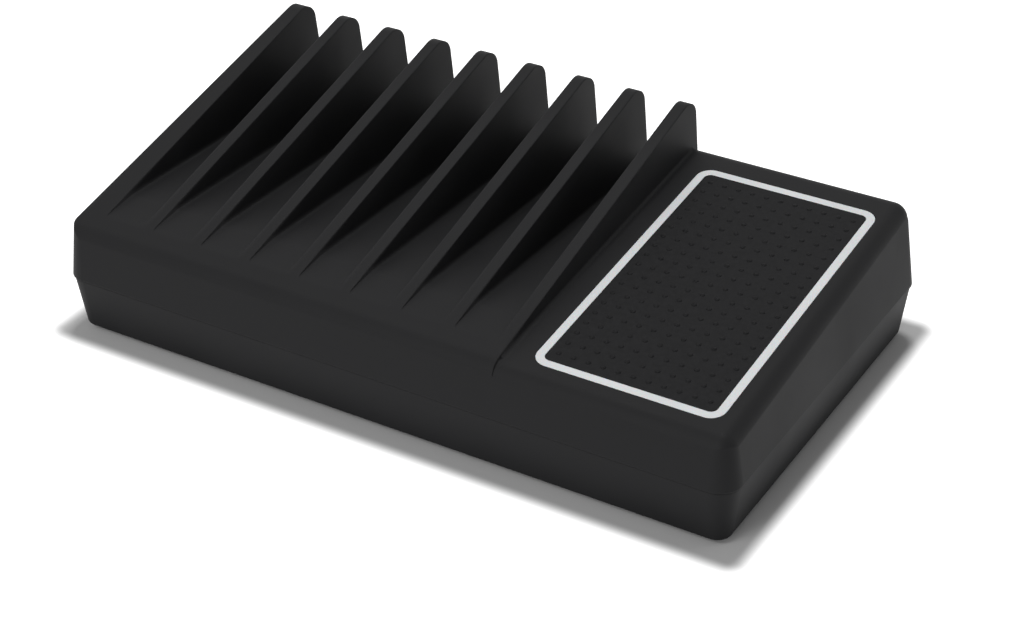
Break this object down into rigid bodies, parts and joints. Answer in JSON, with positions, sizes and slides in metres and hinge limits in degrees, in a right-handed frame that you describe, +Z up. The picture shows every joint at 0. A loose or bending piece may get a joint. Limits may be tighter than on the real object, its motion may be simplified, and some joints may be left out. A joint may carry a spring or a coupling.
{
  "type": "charging station organizer",
  "caption": "Desktop charging station: upright slots for phones and tablets beside a sloped deck with a light ring, ports in the back wall.",
  "frame": {"origin": "on the table, under the middle of the housing", "axes": "+X to the right along the row of slots, +Y to the back, +Z up"},
  "size_m": [0.32, 0.18, 0.09],
  "materials": {
    "shell_black": "shell black",
    "fitting_black": "fitting black",
    "ring_white": "ring white",
    "mat_rubber": "mat rubber",
    "foot_rubber": "foot rubber",
    "board_white": "board white",
    "lamp_yellow": "lamp yellow",
    "steel": "steel",
    "port_steel": "port steel",
    "board_green": "board green",
    "board_brown": "board brown",
    "chip_black": "chip black",
    "ferrite": "ferrite",
    "coil_tape": "coil tape",
    "can_sleeve": "can sleeve",
    "copper": "copper",
    "fuse_glass": "fuse glass",
    "sink_aluminium": "sink aluminium",
    "brass": "brass"
  },
  "bodies": {
    "station": {"upper_shell": "shell_black", "lower_shell": "shell_black", "light_ring": "ring_white", "deck_mat": "mat_rubber", "light_board": "board_white", "lamps": "lamp_yellow", "light_board_screws": "steel", "usb_port_1": "port_steel", "usb_port_2": "port_steel", "usb_port_3": "port_steel", "usb_port_4": "port_steel", "usb_port_5": "port_steel", "usb_port_6": "port_steel", "usb_port_7": "port_steel", "usb_port_8": "port_steel", "usb_port_9": "port_steel", "usb_port_10": "port_steel", "usb_tongue_1": "chip_black", "usb_tongue_2": "chip_black", "usb_tongue_3": "chip_black", "usb_tongue_4": "chip_black", "usb_tongue_5": "chip_black", "usb_tongue_6": "chip_black", "usb_tongue_7": "chip_black", "usb_tongue_8": "chip_black", "usb_tongue_9": "chip_black", "usb_tongue_10": "chip_black", "port_board": "board_green", "charge_chips": "chip_black", "port_board_screws": "steel", "power_board": "board_brown", "power_board_screws": "steel", "transformer_core": "ferrite", "transformer_coil": "coil_tape", "bulk_capacitor_1": "can_sleeve", "bulk_capacitor_2": "can_sleeve", "mains_choke": "copper", "filter_capacitor": "coil_tape", "bridge_rectifier": "chip_black", "fuse": "fuse_glass", "primary_heat_sink": "sink_aluminium", "secondary_heat_sink": "sink_aluminium", "output_capacitors": "can_sleeve", "inlet_body": "fitting_black", "inlet_pins": "brass", "switch_frame": "fitting_black", "housing_screws": "steel", "front_left_foot": "foot_rubber", "front_right_foot": "foot_rubber", "back_left_foot": "foot_rubber", "back_right_foot": "foot_rubber"},
    "rocker": {"switch_rocker": "fitting_black"}
  },
  "joints": [
    {"name": "mains_switch", "type": "hinge", "parent": "station", "child": "rocker", "pos_m": [0.109, 0.085, 0.03925], "axis": [0, 0, 1], "range_deg": [0, 18]}
  ]
}
